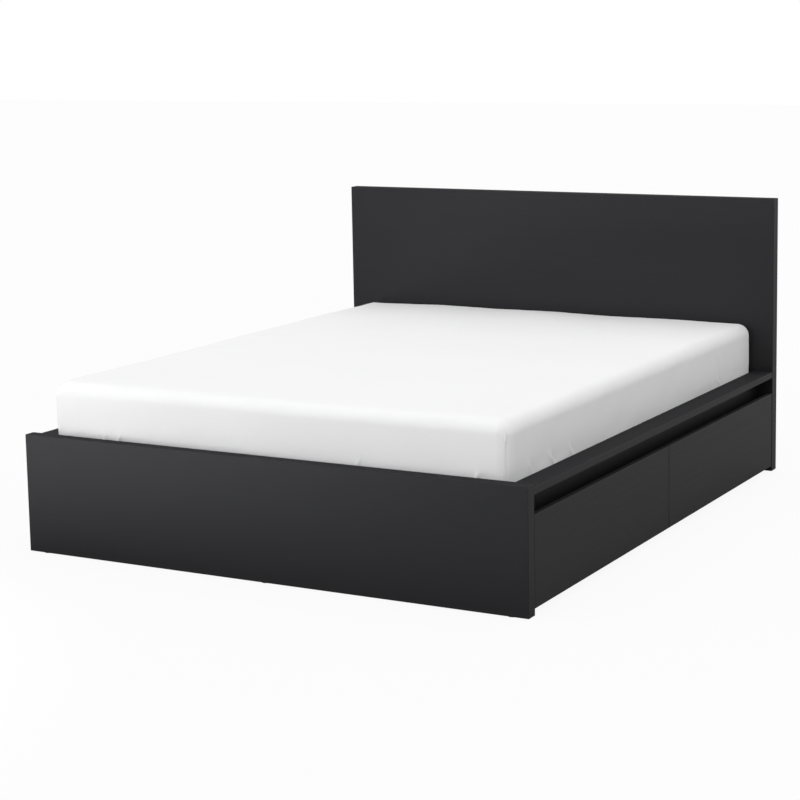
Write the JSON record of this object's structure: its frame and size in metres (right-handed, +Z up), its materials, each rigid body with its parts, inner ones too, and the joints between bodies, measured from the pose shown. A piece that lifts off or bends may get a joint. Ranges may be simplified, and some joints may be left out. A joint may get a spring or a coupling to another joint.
{
  "type": "platform bed with storage drawers",
  "caption": "Low double bed with a plain panel headboard, slatted base, mattress in a white fitted sheet, and wide drawers on wheels under both sides.",
  "frame": {"origin": "on the floor under the middle of the bed's outer box", "axes": "+X to the right seen from the foot end, +Y from the footboard towards the headboard, +Z up"},
  "size_m": [1.76, 2.09, 1],
  "materials": {
    "board_foil": "satin black-brown foil on board, faint horizontal grain",
    "drawer_board": "matte dark foil on board",
    "birch": "bare layer-glued birch",
    "coated_steel": "dark powder coat",
    "zinc_steel": "zinc plated",
    "black_plastic": "moulded, fine texture",
    "wheel_plastic": "moulded grey, satin tread",
    "webbing": "woven polyester tape",
    "mattress_cover": "knitted ticking",
    "sheet_cotton": "smooth white cotton satin weave"
  },
  "bodies": {
    "bed_frame": {"headboard_upper_panel": "board_foil", "headboard_lower_panel": "board_foil", "headboard_dowels": "birch", "headboard_cam_fittings": "zinc_steel", "footboard": "board_foil", "side_rail_right": "board_foil", "side_rail_left": "board_foil", "side_ledge_right": "board_foil", "side_ledge_left": "board_foil", "ledge_dowels": "birch", "slat_bearer_right": "coated_steel", "slat_bearer_left": "coated_steel", "bearer_screws": "zinc_steel", "midbeam_outer": "coated_steel", "midbeam_inner": "zinc_steel", "midbeam_brackets": "zinc_steel", "corner_brackets": "zinc_steel", "frame_bolts": "zinc_steel", "slats_right": "birch", "slats_left": "birch", "slat_straps": "webbing", "floor_glides": "black_plastic", "mattress": "mattress_cover", "fitted_sheet": "sheet_cotton"},
    "drawer_right_foot": {"drawer_right_foot_front": "board_foil", "drawer_right_foot_back": "drawer_board", "drawer_right_foot_sides": "drawer_board", "drawer_right_foot_bottom": "drawer_board", "drawer_right_foot_castor_forks": "black_plastic"},
    "drawer_right_head": {"drawer_right_head_front": "board_foil", "drawer_right_head_back": "drawer_board", "drawer_right_head_sides": "drawer_board", "drawer_right_head_bottom": "drawer_board", "drawer_right_head_castor_forks": "black_plastic"},
    "drawer_left_foot": {"drawer_left_foot_front": "board_foil", "drawer_left_foot_back": "drawer_board", "drawer_left_foot_sides": "drawer_board", "drawer_left_foot_bottom": "drawer_board", "drawer_left_foot_castor_forks": "black_plastic"},
    "drawer_left_head": {"drawer_left_head_front": "board_foil", "drawer_left_head_back": "drawer_board", "drawer_left_head_sides": "drawer_board", "drawer_left_head_bottom": "drawer_board", "drawer_left_head_castor_forks": "black_plastic"},
    "wheel_right_foot_1": {"drawer_right_foot_wheel_1": "wheel_plastic"},
    "wheel_right_foot_2": {"drawer_right_foot_wheel_2": "wheel_plastic"},
    "wheel_right_foot_3": {"drawer_right_foot_wheel_3": "wheel_plastic"},
    "wheel_right_foot_4": {"drawer_right_foot_wheel_4": "wheel_plastic"},
    "wheel_right_head_1": {"drawer_right_head_wheel_1": "wheel_plastic"},
    "wheel_right_head_2": {"drawer_right_head_wheel_2": "wheel_plastic"},
    "wheel_right_head_3": {"drawer_right_head_wheel_3": "wheel_plastic"},
    "wheel_right_head_4": {"drawer_right_head_wheel_4": "wheel_plastic"},
    "wheel_left_foot_1": {"drawer_left_foot_wheel_1": "wheel_plastic"},
    "wheel_left_foot_2": {"drawer_left_foot_wheel_2": "wheel_plastic"},
    "wheel_left_foot_3": {"drawer_left_foot_wheel_3": "wheel_plastic"},
    "wheel_left_foot_4": {"drawer_left_foot_wheel_4": "wheel_plastic"},
    "wheel_left_head_1": {"drawer_left_head_wheel_1": "wheel_plastic"},
    "wheel_left_head_2": {"drawer_left_head_wheel_2": "wheel_plastic"},
    "wheel_left_head_3": {"drawer_left_head_wheel_3": "wheel_plastic"},
    "wheel_left_head_4": {"drawer_left_head_wheel_4": "wheel_plastic"}
  },
  "joints": [
    {"name": "pull_right_foot", "type": "slide", "parent": "bed_frame", "child": "drawer_right_foot", "axis": [1, 0, 0], "range_m": [0, 0.6]},
    {"name": "pull_right_head", "type": "slide", "parent": "bed_frame", "child": "drawer_right_head", "axis": [1, 0, 0], "range_m": [0, 0.6]},
    {"name": "pull_left_foot", "type": "slide", "parent": "bed_frame", "child": "drawer_left_foot", "axis": [-1, 0, 0], "range_m": [0, 0.6]},
    {"name": "pull_left_head", "type": "slide", "parent": "bed_frame", "child": "drawer_left_head", "axis": [-1, 0, 0], "range_m": [0, 0.6]},
    {"name": "roll_right_foot_1", "type": "hinge", "parent": "drawer_right_foot", "child": "wheel_right_foot_1", "pos_m": [0.349, -0.9305, 0.02], "axis": [0, 1, 0], "continuous": true},
    {"name": "roll_right_foot_2", "type": "hinge", "parent": "drawer_right_foot", "child": "wheel_right_foot_2", "pos_m": [0.801, -0.9305, 0.02], "axis": [0, 1, 0], "continuous": true},
    {"name": "roll_right_foot_3", "type": "hinge", "parent": "drawer_right_foot", "child": "wheel_right_foot_3", "pos_m": [0.349, -0.07575, 0.02], "axis": [0, 1, 0], "continuous": true},
    {"name": "roll_right_foot_4", "type": "hinge", "parent": "drawer_right_foot", "child": "wheel_right_foot_4", "pos_m": [0.801, -0.07575, 0.02], "axis": [0, 1, 0], "continuous": true},
    {"name": "roll_right_head_1", "type": "hinge", "parent": "drawer_right_head", "child": "wheel_right_head_1", "pos_m": [0.349, 0.07075, 0.02], "axis": [0, 1, 0], "continuous": true},
    {"name": "roll_right_head_2", "type": "hinge", "parent": "drawer_right_head", "child": "wheel_right_head_2", "pos_m": [0.801, 0.07075, 0.02], "axis": [0, 1, 0], "continuous": true},
    {"name": "roll_right_head_3", "type": "hinge", "parent": "drawer_right_head", "child": "wheel_right_head_3", "pos_m": [0.349, 0.9255, 0.02], "axis": [0, 1, 0], "continuous": true},
    {"name": "roll_right_head_4", "type": "hinge", "parent": "drawer_right_head", "child": "wheel_right_head_4", "pos_m": [0.801, 0.9255, 0.02], "axis": [0, 1, 0], "continuous": true},
    {"name": "roll_left_foot_1", "type": "hinge", "parent": "drawer_left_foot", "child": "wheel_left_foot_1", "pos_m": [-0.349, -0.9305, 0.02], "axis": [0, 1, 0], "continuous": true},
    {"name": "roll_left_foot_2", "type": "hinge", "parent": "drawer_left_foot", "child": "wheel_left_foot_2", "pos_m": [-0.801, -0.9305, 0.02], "axis": [0, 1, 0], "continuous": true},
    {"name": "roll_left_foot_3", "type": "hinge", "parent": "drawer_left_foot", "child": "wheel_left_foot_3", "pos_m": [-0.349, -0.07575, 0.02], "axis": [0, 1, 0], "continuous": true},
    {"name": "roll_left_foot_4", "type": "hinge", "parent": "drawer_left_foot", "child": "wheel_left_foot_4", "pos_m": [-0.801, -0.07575, 0.02], "axis": [0, 1, 0], "continuous": true},
    {"name": "roll_left_head_1", "type": "hinge", "parent": "drawer_left_head", "child": "wheel_left_head_1", "pos_m": [-0.349, 0.07075, 0.02], "axis": [0, 1, 0], "continuous": true},
    {"name": "roll_left_head_2", "type": "hinge", "parent": "drawer_left_head", "child": "wheel_left_head_2", "pos_m": [-0.801, 0.07075, 0.02], "axis": [0, 1, 0], "continuous": true},
    {"name": "roll_left_head_3", "type": "hinge", "parent": "drawer_left_head", "child": "wheel_left_head_3", "pos_m": [-0.349, 0.9255, 0.02], "axis": [0, 1, 0], "continuous": true},
    {"name": "roll_left_head_4", "type": "hinge", "parent": "drawer_left_head", "child": "wheel_left_head_4", "pos_m": [-0.801, 0.9255, 0.02], "axis": [0, 1, 0], "continuous": true}
  ],
  "couplings": [
    {"joint": "roll_right_foot_1", "follows": "pull_right_foot", "rad_per_m": 50},
    {"joint": "roll_right_foot_2", "follows": "pull_right_foot", "rad_per_m": 50},
    {"joint": "roll_right_foot_3", "follows": "pull_right_foot", "rad_per_m": 50},
    {"joint": "roll_right_foot_4", "follows": "pull_right_foot", "rad_per_m": 50},
    {"joint": "roll_right_head_1", "follows": "pull_right_head", "rad_per_m": 50},
    {"joint": "roll_right_head_2", "follows": "pull_right_head", "rad_per_m": 50},
    {"joint": "roll_right_head_3", "follows": "pull_right_head", "rad_per_m": 50},
    {"joint": "roll_right_head_4", "follows": "pull_right_head", "rad_per_m": 50},
    {"joint": "roll_left_foot_1", "follows": "pull_left_foot", "rad_per_m": -50},
    {"joint": "roll_left_foot_2", "follows": "pull_left_foot", "rad_per_m": -50},
    {"joint": "roll_left_foot_3", "follows": "pull_left_foot", "rad_per_m": -50},
    {"joint": "roll_left_foot_4", "follows": "pull_left_foot", "rad_per_m": -50},
    {"joint": "roll_left_head_1", "follows": "pull_left_head", "rad_per_m": -50},
    {"joint": "roll_left_head_2", "follows": "pull_left_head", "rad_per_m": -50},
    {"joint": "roll_left_head_3", "follows": "pull_left_head", "rad_per_m": -50},
    {"joint": "roll_left_head_4", "follows": "pull_left_head", "rad_per_m": -50}
  ]
}
